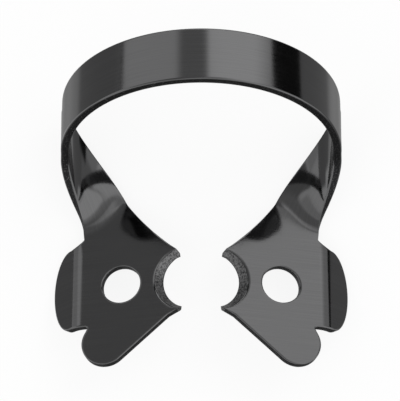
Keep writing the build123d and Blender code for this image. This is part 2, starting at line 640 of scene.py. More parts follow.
class Path2D:
    """A polyline in the chart that is put together piece by piece."""

    TOUCH = 1e-6
    SHORTEST_STEP = 2e-3
    ROUND_POINTS = 9
    CLEARANCE = 1.02

    def __init__(self) -> None:
        """Start with no points."""
        self.points: list[np.ndarray] = []

    def extend(self, points: np.ndarray, corner_radius: float = 0.0) -> None:
        """Add points, leaving out a repeated first one.

        Args:
            points: rows of chart points.
            corner_radius: radius of the round where the new points begin.
        """
        new = [np.asarray(p, dtype=float) for p in points]
        if self.points and np.linalg.norm(self.points[-1] - new[0]) < self.TOUCH:
            new = new[1:]
            joint = self.points[-1]
        else:
            joint = new[0]
        self.points.extend(new)
        if corner_radius:
            self.round_corner_at(joint, corner_radius)

    def round_corner_at(self, corner: np.ndarray, radius: float) -> None:
        """Replace a corner by an arc that leaves both its sides smoothly.

        Args:
            corner: the corner's point, which is one of the path's points.
            radius: radius of the arc.
        """
        points = np.array(self.points)
        index = int(np.argmin(np.linalg.norm(points - corner, axis=1)))
        come = unit(points[index] - points[index - 1])
        leave = unit(points[index + 1] - points[index])
        turn = math.atan2(come[0] * leave[1] - come[1] * leave[0], float(come @ leave))
        reach = radius * math.tan(abs(turn) / 2)
        first, last = points[index] - come * reach, points[index] + leave * reach
        side = np.array([-come[1], come[0]]) * math.copysign(1, turn)
        middle = first + side * radius
        spoke = first - middle
        arc = []
        for share in np.linspace(0, 1, self.ROUND_POINTS):
            c, s = math.cos(turn * share), math.sin(turn * share)
            arc.append(middle + np.array([c * spoke[0] - s * spoke[1], s * spoke[0] + c * spoke[1]]))
        clear = reach * self.CLEARANCE
        low, high = index, index
        while np.linalg.norm(points[low] - corner) < clear:
            low -= 1
        while np.linalg.norm(points[high] - corner) < clear:
            high += 1
        arc[-1] = last
        self.points = [*points[: low + 1], *arc, *points[high:]]

    def resampled(self, step: float) -> np.ndarray:
        """Cut the path's long stretches into even steps.

        Args:
            step: the longest step.

        Returns:
            Rows of chart points.
        """
        out = [self.points[0]]
        for point in self.points[1:]:
            gap = np.linalg.norm(point - out[-1])
            if gap < self.SHORTEST_STEP:
                continue
            parts = max(1, math.ceil(gap / step - ROUNDOFF))
            start = out[-1]
            out.extend(start + (point - start) * k / parts for k in range(1, parts + 1))
        return np.array(out)


def cut_by_circle(
    path: np.ndarray, centre: np.ndarray, radius: float, nearest: float = 0.01, halvings: int = 50
) -> tuple[int, np.ndarray, int, np.ndarray]:
    """Find where a path enters and leaves a circle.

    Args:
        path: rows of chart points.
        centre: the circle's centre.
        radius: the circle's radius.
        nearest: path points closer to the crossing than this are passed over.
        halvings: how often the search for a crossing halves its range.

    Returns:
        Index of the last point before the circle, the entry, index of the first
        point after it, and the exit.
    """
    within = np.linalg.norm(path - centre, axis=1) < radius
    first, last = np.flatnonzero(within)[[0, -1]]

    def crossing(outer: np.ndarray, inner: np.ndarray) -> np.ndarray:
        """Find the point between two path points that lies on the circle.

        Args:
            outer: path point outside the circle.
            inner: its neighbour inside the circle.

        Returns:
            The crossing.
        """
        low, high = 0.0, 1.0
        for _ in range(halvings):
            share = (low + high) / 2
            if np.linalg.norm(outer + (inner - outer) * share - centre) > radius:
                low = share
            else:
                high = share
        return outer + (inner - outer) * low

    enter, leave = crossing(path[first - 1], path[first]), crossing(path[last + 1], path[last])
    before, after = first - 1, last + 1
    while np.linalg.norm(path[before] - enter) < nearest:
        before -= 1
    while np.linalg.norm(path[after] - leave) < nearest:
        after += 1
    return before, enter, after, leave


def stretch(points: np.ndarray, count: int) -> np.ndarray:
    """Spread a number of points evenly along a polyline, its ends included.

    Args:
        points: rows of chart points.
        count: number of points to spread.

    Returns:
        Rows of chart points.
    """
    run = run_along(points)
    at = np.linspace(0, run[-1], count)
    return np.stack([np.interp(at, run, points[:, 0]), np.interp(at, run, points[:, 1])], axis=1)


def inward(points: np.ndarray, sharpest: float = 0.35) -> np.ndarray:
    """Mitred inward vectors of an open clockwise outline that may hold repeated points.

    Args:
        points: rows of chart points.
        sharpest: least divisor of the mitre, which keeps it short at a sharp corner.

    Returns:
        One vector for each point.
    """
    keep = np.concatenate([[True], np.linalg.norm(np.diff(points, axis=0), axis=1) > ROUNDOFF])
    index = np.cumsum(keep) - 1
    path = points[keep]
    step = unit(np.diff(path, axis=0))
    normal = np.stack([step[:, 1], -step[:, 0]], axis=1)
    before = np.vstack([normal[:1], normal])
    after = np.vstack([normal, normal[-1:]])
    likeness = np.sum(before * after, axis=1, keepdims=True)
    mitre = (before + after) / np.maximum(1 + likeness, sharpest)
    return mitre[index]


@dataclass
class Mesher:
    """Collects points and faces in the maker's frame, with the marks that the finish reads."""

    points: list[np.ndarray] = field(default_factory=list)
    marks: list[np.ndarray] = field(default_factory=list)
    faces: list[np.ndarray] = field(default_factory=list)
    count: int = 0

    def add(self, points: np.ndarray, marks: np.ndarray, faces: np.ndarray) -> None:
        """Add a patch.

        Args:
            points: rows of points.
            marks: rows of place along the grain, place across it and cut mask.
            faces: rows of point indices within the patch, four or three each.
        """
        self.points.append(points)
        self.marks.append(marks)
        self.faces.append(np.asarray(faces) + self.count)
        self.count += len(points)

    def add_rings(self, rings: np.ndarray, marks: np.ndarray, closed: bool) -> None:
        """Add quads between neighbouring rings of points.

        Args:
            rings: array of rings, each with the same number of points.
            marks: marks of the same layout.
            closed: whether each ring's last point joins its first.
        """
        count, length = rings.shape[:2]
        step = np.arange(length if closed else length - 1)
        faces = []
        for ring in range(count - 1):
            here, there = ring * length, (ring + 1) * length
            ahead = (step + 1) % length
            faces.append(np.stack([here + step, here + ahead, there + ahead, there + step], axis=1))
        self.add(rings.reshape(-1, 3), marks.reshape(-1, 3), np.vstack(faces))

    def mirrored(self) -> "Mesher":
        """The same patches on the other side.

        Returns:
            A mesher of its own.
        """
        other = Mesher()
        other.points = [patch * MIRROR for patch in self.points]
        other.marks = list(self.marks)
        other.faces = list(self.faces)
        other.count = self.count
        return other

    def join(self, other: "Mesher") -> None:
        """Take in another mesher's patches.

        Args:
            other: the mesher whose patches are added.
        """
        self.points += other.points
        self.marks += other.marks
        self.faces += [face + self.count for face in other.faces]
        self.count += other.count

    def snap(self, other: "Mesher", reach: float = 0.015, batch: int = 400) -> None:
        """Move points onto another mesher's points that they all but touch.

        Args:
            other: holds the points to move onto.
            reach: how near a point has to be.
            batch: number of points that are compared at a time.
        """
        target = np.vstack(other.points)
        for patch in self.points:
            low, high = patch.min(axis=0) - reach, patch.max(axis=0) + reach
            near = target[np.all((target > low) & (target < high), axis=1)]
            if not len(near):
                continue
            for start in range(0, len(patch), batch):
                part = patch[start : start + batch]
                gap = np.linalg.norm(part[:, None] - near[None], axis=2)
                close = gap.min(axis=1) < reach
                part[close] = near[gap.argmin(axis=1)[close]]

    def welded(
        self, reach: float = 2e-4, hops: int = 4
    ) -> tuple[np.ndarray, np.ndarray, list[list[int]]]:
        """Merge points that lie together and drop faces that collapse.

        Args:
            reach: how near two points are one.
            hops: how often a merged point is followed on to what that one merged into.

        Returns:
            Points, marks and faces.
        """
        points, marks = np.vstack(self.points), np.vstack(self.marks)
        faces = [list(row) for patch in self.faces for row in patch]
        maker = bmesh.new()
        verts = [maker.verts.new(p) for p in points]
        for number, vert in enumerate(verts):
            vert.index = number
        found = bmesh.ops.find_doubles(maker, verts=verts, dist=reach)["targetmap"]
        target = np.arange(len(points))
        for vert, other in found.items():
            target[vert.index] = other.index
        maker.free()
        for _ in range(hops):
            target = target[target]
        used, index = np.unique(target, return_inverse=True)
        clean, seen = [], set()
        for face in faces:
            loop = [int(index[i]) for i in face]
            loop = [v for n, v in enumerate(loop) if v != loop[n - 1]]
            if len(set(loop)) < 3 or len(set(loop)) != len(loop):
                continue
            key = frozenset(loop)
            if key not in seen:
                seen.add(key)
                clean.append(loop)
        return points[used], marks[used], clean


def inside(points: np.ndarray, polygon: np.ndarray) -> np.ndarray:
    """Tell for each point whether it lies in a closed polygon.

    Args:
        points: rows of chart points.
        polygon: rows of the polygon's corners.

    Returns:
        One truth value for each point.
    """
    x, y = points[:, :1], points[:, 1:]
    x0, y0 = polygon[:, 0], polygon[:, 1]
    x1, y1 = np.roll(x0, -1), np.roll(y0, -1)
    crosses = (y0 > y) != (y1 > y)
    with np.errstate(divide="ignore", invalid="ignore"):
        at = x0 + (y - y0) * (x1 - x0) / (y1 - y0)
    return (np.sum(crosses & (x < at), axis=1) % 2) == 1


@dataclass(frozen=True)
class PlateBuilder:
    """Turns the jaw plate's chart into a shell with rounded cut edges."""

    plate: JawPlate
    sheet: Sheet
    upper_growth: float = 0.2
    upper_least: float = 0.005
    lower_growth: float = 0.35
    lower_least: float = 0.15
    ground_mark: float = 1.5
    ground_margin: float = 1.01
    repeat_gap: float = 1e-4
    merge_gap: float = 1e-7

    def notch_circles(self) -> list[tuple[np.ndarray, float]]:
        """Circles that the notch follows in both skins.

        Returns:
            Centre and radius in the upper skin, and those in the lower skin.
        """
        plate = self.plate
        circles = []
        for depth, radius in (
            (plate.notch_upper_depth, plate.notch_upper_radius),
            (plate.notch_lower_depth, plate.notch_lower_radius),
        ):
            circles.append((np.array([depth - plate.prong_reach - radius, plate.notch_offset]), radius))
        return circles

    def notch_arc(self, centre: np.ndarray, radius: float, ends: list[np.ndarray]) -> np.ndarray:
        """Points of the notch between its two ends, which are left out.

        Args:
            centre: the notch's centre.
            radius: its radius.
            ends: where it begins and where it ends.

        Returns:
            Rows of chart points.
        """
        start, end = (math.atan2(*(point - centre)[::-1]) for point in ends)
        return (centre + radius * around(np.linspace(start, end, self.plate.notch_points)))[1:-1]

    def radii(
        self, edge: np.ndarray, ends: list[np.ndarray], growth: float, least: float
    ) -> np.ndarray:
        """Edge radii, which shrink towards both ends of the notch.

        Args:
            edge: outline of one skin.
            ends: where the notch begins and where it ends in that skin.
            growth: how fast the radius grows with the distance from an end.
            least: the radius at an end, as a share of the full one.

        Returns:
            One radius for each point of the outline.
        """
        full = self.sheet.edge_radius
        near = np.min([np.linalg.norm(edge - end, axis=1) for end in ends], axis=0)
        return np.minimum(full, near * growth + full * least)

    def edges(self) -> tuple[np.ndarray, np.ndarray, np.ndarray, np.ndarray]:
        """Match the outline of the upper skin with the outline of the lower skin.

        Returns:
            The upper outline, the lower outline, and the edge radii of each.
        """
        path = self.plate.outline()
        upper_circle, lower_circle = self.notch_circles()
        up_in, enter_up, up_out, exit_up = cut_by_circle(path, *upper_circle)
        low_in, enter_low, low_out, exit_low = cut_by_circle(path, *lower_circle)
        # The bevel makes the notch narrower in the lower skin, which keeps more of the outline
        upper_ends, lower_ends = [enter_up, exit_up], [enter_low, exit_low]
        count = self.plate.notch_end_points
        front = np.vstack([enter_up[None], path[up_in + 1 : low_in + 1], enter_low[None]])
        rear = np.vstack([exit_low[None], path[low_out:up_out], exit_up[None]])
        lower = np.vstack(
            [
                path[: up_in + 1],
                stretch(front, count),
                self.notch_arc(*lower_circle, lower_ends),
                stretch(rear, count),
                path[up_out:],
            ]
        )
        upper = np.vstack(
            [
                path[: up_in + 1],
                np.repeat(enter_up[None], count, axis=0),
                self.notch_arc(*upper_circle, upper_ends),
                np.repeat(exit_up[None], count, axis=0),
                path[up_out:],
            ]
        )
        upper_radius = self.radii(upper, upper_ends, self.upper_growth, self.upper_least)
        lower_radius = self.radii(lower, lower_ends, self.lower_growth, self.lower_least)
        return upper, lower, upper_radius, lower_radius

    def lift(self, chart: np.ndarray, height: np.ndarray | float) -> np.ndarray:
        """Place chart points at a height over the sheet's middle."""
        return self.plate.place(chart, height, self.sheet)

    def marks(self, chart: np.ndarray, cut: float) -> np.ndarray:
        """Marks of chart points: both places in the chart and the cut mask."""
        return np.stack([chart[:, 0], chart[:, 1], np.full(len(chart), cut)], axis=1)

    def ground(self, edge: np.ndarray) -> np.ndarray:
        """Tell which points of an edge lie on the ground notch.

        Args:
            edge: rows of chart points.

        Returns:
            One truth value for each point.
        """
        found = np.zeros(len(edge), dtype=bool)
        for centre, radius in self.notch_circles():
            found |= np.linalg.norm(edge - centre, axis=1) < radius * self.ground_margin
        return found

    def rim(self, mesher: Mesher) -> tuple[np.ndarray, np.ndarray]:
        """Build the rounded edge round the plate.

        Args:
            mesher: takes the edge's faces.

        Returns:
            The outlines at which the upper and the lower skin begin, in the chart.
        """
        sheet, plate = self.sheet, self.plate
        upper, lower, upper_radius, lower_radius = self.edges()
        upper_in, lower_in = inward(upper), inward(lower)
        wall = unit(np.hstack([lower - upper, np.full((len(upper), 1), -sheet.gauge)]))
        joint = np.array([plate.neck, plate.crotch])
        width = np.linalg.norm(joint[1] - joint[0]) / sheet.strip_width
        along = unit(joint[1] - joint[0])
        profile = sheet.edge_profile()
        half = len(profile) // 2
        rings, marks, starts = [], [], []
        for number, (inset, depth, cut) in enumerate(profile):
            top = number < half
            edge, normal, radius = (
                (upper, upper_in, upper_radius) if top else (lower, lower_in, lower_radius)
            )
            chart = edge + normal * (inset * radius)[:, None]
            slide = wall * (depth * radius)[:, None]
            chart = chart + slide[:, :2]
            height = (sheet.half if top else -sheet.half) + slide[:, 2]
            # At the neck and the crotch the edge takes the shape of the strip's own section
            ends = inset * sheet.edge_radius * width
            level = sheet.half - abs(depth) * sheet.edge_radius
            chart[0], chart[-1] = joint[0] + along * ends, joint[1] - along * ends
            height[0] = height[-1] = level if top else -level
            rings.append(self.lift(chart, height))
            marks.append(self.marks(chart, cut))
            marks[-1][:, 2] *= np.where(self.ground(edge), self.ground_mark, 1.0)
            starts.append(chart)
        mesher.add_rings(np.array(rings), np.array(marks), closed=False)
        return starts[0], starts[-1]

    def bore(self, mesher: Mesher) -> np.ndarray:
        """Build the wall of the forceps hole.

        Args:
            mesher: takes the wall's faces.

        Returns:
            The ring at which both skins begin, in the chart.
        """
        sheet = self.sheet
        spoke = around(np.linspace(0, 2 * math.pi, self.plate.hole_points, endpoint=False))
        profile = sheet.edge_profile()
        rings, marks, starts = [], [], []
        for number, (inset, depth, cut) in enumerate(profile):
            skin = sheet.half if number < len(profile) // 2 else -sheet.half
            chart = spoke * (self.plate.hole_diameter / 2 + inset * sheet.edge_radius)
            rings.append(self.lift(chart, skin - depth * sheet.edge_radius))
            marks.append(self.marks(chart, cut))
            starts.append(chart)
        mesher.add_rings(np.array(rings), np.array(marks), closed=True)
        return starts[0]

    def skin(self, mesher: Mesher, which: Skin, rim: np.ndarray, ring: np.ndarray) -> None:
        """Fill one face of the plate.

        Args:
            mesher: takes the skin's faces.
            which: the upper or the lower face.
            rim: outline at which the skin begins, from the neck to the crotch.
            ring: outline at which the skin begins round the hole.
        """
        repeats = np.linalg.norm(np.diff(rim, axis=0), axis=1) <= self.repeat_gap
        rim = rim[np.concatenate([[True], ~repeats])]
        joint = np.linspace(rim[-1], rim[0], self.sheet.across_steps + 1)[1:-1]
        border = np.vstack([rim, joint])
        inner, lines = self.bend_lines(border)
        inner.extend(self.lattice(border, ring))
        # Both borders and the lines along the bend stay edges of the filled face
        coords, edges = [], []
        for loop in (border, ring):
            base = len(coords)
            coords.extend(loop)
            edges.extend((base + i, base + (i + 1) % len(loop)) for i in range(len(loop)))
        base = len(coords)
        coords.extend(inner)
        edges.extend((base + i, base + j) for i, j in lines)
        points = [Vector(p) for p in coords]
        made = delaunay_2d_cdt(points, edges, [], TRIANGLES_INSIDE, self.merge_gap)
        flat = np.array([tuple(p) for p in made[0]])
        faces = np.array([face for face in made[2] if len(face) == 3])
        faces = faces[~inside(flat[faces].mean(axis=1), ring)]
        mesher.add(self.lift(flat, which.value * self.sheet.half), self.marks(flat, 0.0), faces)

    def bend_lines(self, border: np.ndarray) -> tuple[list[np.ndarray], list[tuple[int, int]]]:
        """Lay lines of points along the wing's bend, so that it is rounded evenly.

        Args:
            border: the skin's border, which the points keep clear of.

        Returns:
            The points, and the pairs of them that the lines join.
        """
        plate = self.plate
        points, lines = [], []
        for column in np.linspace(plate.neck_from_hole, plate.bend_end, plate.bend_columns + 1):
            start = None
            for row in np.linspace(plate.wing_front, plate.neck_setback, plate.bend_rows):
                point = np.array([column, row])
                gap = np.min(np.linalg.norm(border - point, axis=1))
                if gap <= plate.bend_clearance or not inside(point[None], border)[0]:
                    start = None
                    continue
                points.append(point)
                if start is not None:
                    lines.append((start, len(points) - 1))
                start = len(points) - 1
        return points, lines

    def lattice(self, border: np.ndarray, ring: np.ndarray) -> np.ndarray:
        """Lay even points over the flat part, which let it take a soft bend.

        Args:
            border: the skin's border.
            ring: the skin's border round the hole.

        Returns:
            Rows of chart points.
        """
        step = self.plate.lattice_step
        reach = self.plate.neck_from_hole - step / 2
        rows = np.arange(border[:, 1].min(), border[:, 1].max(), step * math.sqrt(3) / 2)
        columns = np.arange(border[:, 0].min(), reach, step)
        grid = [[x + step / 2 * (n % 2), y] for n, y in enumerate(rows) for x in columns]
        grid = np.array([point for point in grid if point[0] < reach])
        outside = np.linalg.norm(grid, axis=1) > np.linalg.norm(ring[0]) + step / 2
        grid = grid[outside & inside(grid, border)]
        gap = np.linalg.norm(grid[:, None] - border[None], axis=2).min(axis=1)
        return grid[gap > step / 2]

    def build(self) -> Mesher:
        """Build the right plate's shell, open where the leg joins it.

        Returns:
            The shell's patches.
        """
        mesher = Mesher()
        upper, lower = self.rim(mesher)
        ring = self.bore(mesher)
        self.skin(mesher, Skin.UPPER, upper, ring)
        self.skin(mesher, Skin.LOWER, lower, ring)
        return mesher


# Node trees


class Tree:
    """Small helper that adds and links nodes in a tree."""

    def __init__(self, tree: bpy.types.NodeTree) -> None:
        """Keep the tree."""
        self.tree = tree

    def node(self, kind: str, inputs: dict | None = None, **settings: object) -> bpy.types.Node:
        """Add a node.

        Args:
            kind: the node's type.
            inputs: values or output sockets for its inputs, by name or number.
            settings: attributes to set on the node.

        Returns:
            The node.
        """
        made = self.tree.nodes.new(kind)
        for name, value in settings.items():
            setattr(made, name, value)
        for key, value in (inputs or {}).items():
            if isinstance(value, bpy.types.NodeSocket):
                self.tree.links.new(value, made.inputs[key])
            else:
                made.inputs[key].default_value = value
        return made

    def math(self, operation: str, *values: object) -> bpy.types.NodeSocket:
        """Add a math node that works on numbers or sockets, and return its result."""
        return self.node("ShaderNodeMath", dict(enumerate(values)), operation=operation).outputs[0]

    def vector(self, operation: str, *values: object) -> bpy.types.NodeSocket:
        """Add a vector math node that works on vectors or sockets, and return its result."""
        kind = "ShaderNodeVectorMath"
        return self.node(kind, dict(enumerate(values)), operation=operation).outputs[0]

    def scaled(self, vector: object, factor: object) -> bpy.types.NodeSocket:
        """Scale a vector by a number."""
        made = self.node("ShaderNodeVectorMath", {0: vector, "Scale": factor}, operation="SCALE")
        return made.outputs[0]

    def span(
        self, value: object, ends: tuple[float, float], low: float = 0.0, high: float = 1.0
    ) -> bpy.types.NodeSocket:
        """Map a value smoothly, from low at the first end of its range to high at the second."""
        inputs = {0: value, 1: ends[0], 2: ends[1], 3: low, 4: high}
        return self.node("ShaderNodeMapRange", inputs, interpolation_type="SMOOTHSTEP").outputs[0]

    def mix(self, share: object, low: object, high: object) -> bpy.types.NodeSocket:
        """Mix two numbers by a share of the second one."""
        return self.node("ShaderNodeMix", {0: share, 2: low, 3: high}, data_type="FLOAT").outputs[0]

    def blend(self, share: object, low: object, high: object) -> bpy.types.NodeSocket:
        """Mix two colours by a share of the second one."""
        return self.node("ShaderNodeMix", {0: share, 6: low, 7: high}, data_type="RGBA").outputs[2]

    def noise(self, vector: object, scale: object, detail: float) -> bpy.types.NodeSocket:
        """Add a noise texture and return its value."""
        inputs = {"Vector": vector, "Scale": scale, "Detail": detail}
        return self.node("ShaderNodeTexNoise", inputs).outputs[0]

    def split(self, vector: object) -> bpy.types.NodeOutputs:
        """Split a vector into its three parts."""
        return self.node("ShaderNodeSeparateXYZ", {0: vector}).outputs

    def join(self, **inputs: object) -> bpy.types.NodeSocket:
        """Put a vector together from the parts X, Y and Z."""
        return self.node("ShaderNodeCombineXYZ", inputs).outputs[0]


class StripTree:
    """Geometry Nodes tree that sweeps the strip's section along its two rails."""

    INPUTS = {
        "Rails": "NodeSocketGeometry",
        "Section": "NodeSocketObject",
        "Gauge": "NodeSocketFloat",
        "Strip width": "NodeSocketFloat",
        "Finish": "NodeSocketMaterial",
    }
    VECTORS = ("place", "front", "back", "front_slope", "back_slope")

    def __init__(self) -> None:
        """Build the tree."""
        self.group = bpy.data.node_groups.new("Ruled strip", "GeometryNodeTree")
        for name, kind in self.INPUTS.items():
            self.group.interface.new_socket(name, in_out="INPUT", socket_type=kind)
        self.group.interface.new_socket("Strip", in_out="OUTPUT", socket_type="NodeSocketGeometry")
        tree = Tree(self.group)
        given = tree.node("NodeGroupInput").outputs
        section = tree.node("GeometryNodeObjectInfo", {"Object": given["Section"]})
        loop = tree.node("GeometryNodeMeshToCurve", {"Mesh": section.outputs["Geometry"]})
        path = tree.node("GeometryNodeMeshToCurve", {"Mesh": given["Rails"]})
        curves = {"Curve": path.outputs[0], "Profile Curve": loop.outputs[0]}
        tube = tree.node("GeometryNodeCurveToMesh", curves)
        place, front, back, front_slope, back_slope = (
            self.named(tree, name, "FLOAT_VECTOR") for name in self.VECTORS
        )
        share, level, cut = tree.split(place)
        across = tree.vector("SUBTRACT", back, front)
        turn = tree.vector("SUBTRACT", back_slope, front_slope)
        middle = tree.vector("ADD", front, tree.scaled(across, share))
        slope = tree.vector("ADD", front_slope, tree.scaled(turn, share))
        normal = tree.vector("NORMALIZE", tree.vector("CROSS_PRODUCT", slope, across))
        height = tree.math("MULTIPLY", level, tree.math("MULTIPLY", given["Gauge"], 0.5))
        target = tree.vector("ADD", middle, tree.scaled(normal, height))
        moved = tree.node(
            "GeometryNodeSetPosition", {"Geometry": tube.outputs[0], "Position": target}
        )
        stored = tree.node(
            "GeometryNodeStoreNamedAttribute",
            {"Geometry": moved.outputs[0], "Name": "marks"},
            data_type="FLOAT_VECTOR",
            domain="POINT",
        )
        width = tree.math("MULTIPLY", share, given["Strip width"])
        marks = tree.join(X=self.named(tree, "run", "FLOAT"), Y=width, Z=cut)
        value = next(s for s in stored.inputs if s.name == "Value" and s.enabled)
        self.group.links.new(marks, value)
        smooth = tree.node("GeometryNodeSetShadeSmooth", {"Geometry": stored.outputs[0]})
        real = tree.node("GeometryNodeRealizeInstances", {"Geometry": smooth.outputs[0]})
        finish = {"Geometry": real.outputs[0], "Material": given["Finish"]}
        dressed = tree.node("GeometryNodeSetMaterial", finish)
        tree.node("NodeGroupOutput", {0: dressed.outputs[0]})

    @staticmethod
    def named(tree: Tree, name: str, kind: str) -> bpy.types.NodeSocket:
        """Read a named attribute, of a given data type, of the rails or the section."""
        made = tree.node("GeometryNodeInputNamedAttribute", {"Name": name}, data_type=kind)
        return next(s for s in made.outputs if s.name == "Attribute" and s.enabled)

    def apply(
        self, rails: bpy.types.Object, section: bpy.types.Object, sheet: Sheet, finish: bpy.types.Material
    ) -> bpy.types.Mesh:
        """Run the tree on the rails and keep the result as a plain mesh.

        Args:
            rails: chain of front edge points with the marks that the tree reads.
            section: closed chain of section points.
            sheet: the sheet's sizes.
            finish: material that the strip is given.

        Returns:
            The strip's mesh, open at both ends.
        """
        modifier = rails.modifiers.new("Strip", "NODES")
        modifier.node_group = self.group
        values = {
            "Section": section,
            "Gauge": sheet.gauge,
            "Strip width": sheet.strip_width,
            "Finish": finish,
        }
        for item in self.group.interface.items_tree:
            if item.item_type == "SOCKET" and item.in_out == "INPUT" and item.name in values:
                modifier[item.identifier] = values[item.name]
        graph = bpy.context.evaluated_depsgraph_get()
        mesh = bpy.data.meshes.new_from_object(rails.evaluated_get(graph), depsgraph=graph)
        rails.modifiers.clear()
        return mesh


def chain(
    name: str, points: np.ndarray, closed: bool, layers: dict[str, np.ndarray]
) -> bpy.types.Object:
    """Make an object that is a chain of edges with marks on its points.

    Args:
        name: name of the object.
        points: rows of points.
        closed: whether the last point joins the first.
        layers: attribute values by name, one row or number for each point.

    Returns:
        The object, linked to the scene.
    """
    count = len(points)
    mesh = bpy.data.meshes.new(name)
    edges = [(i, (i + 1) % count) for i in range(count if closed else count - 1)]
    mesh.from_pydata([tuple(p) for p in points], edges, [])
    for layer, values in layers.items():
        values = np.asarray(values, dtype=np.float32)
        kind, key = ("FLOAT_VECTOR", "vector") if values.ndim == 2 else ("FLOAT", "value")
        mesh.attributes.new(layer, kind, "POINT").data.foreach_set(key, values.ravel())
    return linked(name, mesh)


# Finishes


class EffectGroups:
    """Shader node groups that the clamp's finish is put together from."""

    SPARKS = (0.56, 0.72)

    def __init__(self) -> None:
        """Build both groups once."""
        self.brushed = self.build_brushed()
        self.grit = self.build_grit()

    @staticmethod
    def start(name: str, sizes: dict[str, float]) -> tuple[Tree, bpy.types.NodeOutputs]:
        """Make an empty group that is given a place and some sizes.

        Args:
            name: name of the group.
            sizes: first values of its sizes, by name.

        Returns:
            The tree helper and the input node's sockets.
        """
        group = bpy.data.node_groups.new(name, "ShaderNodeTree")
        group.interface.new_socket("Place", in_out="INPUT", socket_type="NodeSocketVector")
        for label, value in sizes.items():
            socket = group.interface.new_socket(label, in_out="INPUT", socket_type="NodeSocketFloat")
            socket.default_value = value
        tree = Tree(group)
        return tree, tree.node("NodeGroupInput").outputs

    @staticmethod
    def end(tree: Tree, results: dict[str, bpy.types.NodeSocket]) -> bpy.types.NodeTree:
        """Give the group its results.

        Args:
            tree: the group's tree helper.
            results: sockets by the name of the result.

        Returns:
            The group.
        """
        for label in results:
            tree.tree.interface.new_socket(label, in_out="OUTPUT", socket_type="NodeSocketFloat")
        tree.node("NodeGroupOutput", results)
        return tree.tree

    def build_brushed(self) -> bpy.types.NodeTree:
        """Fine lines along the strip, with a slow change of depth.

        Returns:
            The group.
        """
        tree, given = self.start("Brushed grain", {"Line length": 9.0, "Line width": 0.06})
        along, across, _ = tree.split(given["Place"])
        place = tree.join(
            X=tree.math("DIVIDE", along, given["Line length"]),
            Y=tree.math("DIVIDE", across, given["Line width"]),
        )
        fine = {"Vector": place, "Scale": 1.0, "Detail": 3.0, "Roughness": 0.6}
        lines = tree.node("ShaderNodeTexNoise", fine).outputs[0]
        return self.end(tree, {"Lines": lines, "Haze": tree.noise(given["Place"], 0.55, 2.0)})

    def build_grit(self) -> bpy.types.NodeTree:
        """Coarse grains of a blanked or ground edge.

        Returns:
            The group.
        """
        tree, given = self.start("Ground grit", {"Grain size": 0.09})
        scale = tree.math("DIVIDE", 1.0, given["Grain size"])
        cells = tree.node("ShaderNodeTexVoronoi", {"Vector": given["Place"], "Scale": scale})
        sparks = tree.span(tree.noise(given["Place"], scale, 3.0), self.SPARKS)
        return self.end(tree, {"Grains": cells.outputs["Distance"], "Sparks": sparks})


